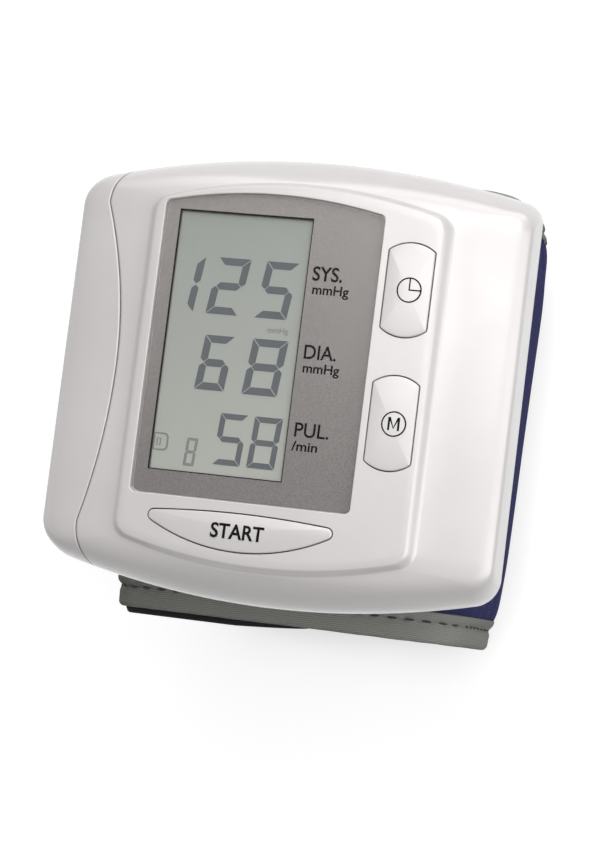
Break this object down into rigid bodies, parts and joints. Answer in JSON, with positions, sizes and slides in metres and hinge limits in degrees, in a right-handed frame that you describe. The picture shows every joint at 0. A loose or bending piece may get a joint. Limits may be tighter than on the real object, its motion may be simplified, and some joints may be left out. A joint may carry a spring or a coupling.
{
  "type": "wrist blood pressure monitor",
  "caption": "Wrist blood pressure monitor: a moulded housing with a display, push buttons and a slide-off battery cover on a padded cuff closed into a ring.",
  "frame": {"origin": "on the floor under the middle of the whole object", "axes": "+Z out of the display, +X across the wrist to the right of the display, +Y along the forearm to the top of the display"},
  "size_m": [0.0692, 0.0714, 0.0784],
  "materials": {
    "housing_plastic": "glossy pearl white",
    "inner_plastic": "matt moulded",
    "panel_print": "warm grey metallic print",
    "clear_plastic": "clear, polished",
    "lcd": "greenish grey liquid crystal",
    "circuit_board": "green solder mask",
    "black_plastic": "matt",
    "steel": "bright zinc",
    "brass": "plain",
    "soft_hose": "soft translucent",
    "cell_case": "plain foil label",
    "navy_fabric": "fine navy loop fabric",
    "grey_binding": "light grey knitted binding",
    "dark_fabric": "smooth dark lining"
  },
  "bodies": {
    "strap": {"cuff_strap": "navy_fabric", "strap_binding_lower": "grey_binding", "strap_binding_upper": "grey_binding", "hook_pad": "dark_fabric"},
    "monitor": {"front_shell": "housing_plastic", "rear_shell": "housing_plastic", "lcd_frame": "inner_plastic", "pressure_sensor": "inner_plastic", "pump_head": "inner_plastic", "air_block": "inner_plastic", "cuff_former": "inner_plastic", "air_port": "inner_plastic", "display_mask": "panel_print", "display_lens": "clear_plastic", "lcd_glass": "lcd", "main_board": "circuit_board", "lcd_connector": "black_plastic", "controller_chip": "black_plastic", "buzzer": "black_plastic", "start_switch": "black_plastic", "clock_switch": "black_plastic", "memory_switch": "black_plastic", "board_screw_1": "steel", "board_screw_2": "steel", "housing_screw_1": "steel", "housing_screw_2": "steel", "housing_screw_3": "steel", "housing_screw_4": "steel", "pump_motor": "steel", "exhaust_valve": "steel", "battery_spring_1": "steel", "battery_spring_2": "steel", "bridge_contact": "steel", "positive_contact": "steel", "negative_contact": "steel", "anchor_screw_1": "steel", "anchor_screw_2": "steel", "pump_hose": "soft_hose", "valve_hose": "soft_hose", "sensor_hose": "soft_hose", "air_bladder": "soft_hose", "battery_1": "cell_case", "battery_2": "cell_case", "cuff_cover": "navy_fabric", "cuff_binding_lower": "grey_binding", "cuff_binding_upper": "grey_binding", "cuff_lining": "dark_fabric"},
    "start_key": {"start_button": "housing_plastic", "start_plunger": "brass"},
    "clock_key": {"clock_button": "housing_plastic", "clock_plunger": "brass"},
    "memory_key": {"memory_button": "housing_plastic", "memory_plunger": "brass"},
    "bay_cover": {"battery_cover": "housing_plastic"}
  },
  "joints": [
    {"name": "cuff_opening", "type": "hinge", "parent": "strap", "child": "monitor", "pos_m": [0.02599, 0, 0.03943], "axis": [0, 1, 0], "range_deg": [0, 90]},
    {"name": "start_press", "type": "slide", "parent": "monitor", "child": "start_key", "axis": [0, 0, -1], "range_m": [0, 0.0008], "stiffness_N_per_m": 500, "springref_m": -0.0005},
    {"name": "clock_press", "type": "slide", "parent": "monitor", "child": "clock_key", "axis": [0, 0, -1], "range_m": [0, 0.0008], "stiffness_N_per_m": 500, "springref_m": -0.0005},
    {"name": "memory_press", "type": "slide", "parent": "monitor", "child": "memory_key", "axis": [0, 0, -1], "range_m": [0, 0.0008], "stiffness_N_per_m": 500, "springref_m": -0.0005},
    {"name": "battery_cover_slide", "type": "slide", "parent": "monitor", "child": "bay_cover", "axis": [-1, 0, 0], "range_m": [0, 0.012]}
  ]
}
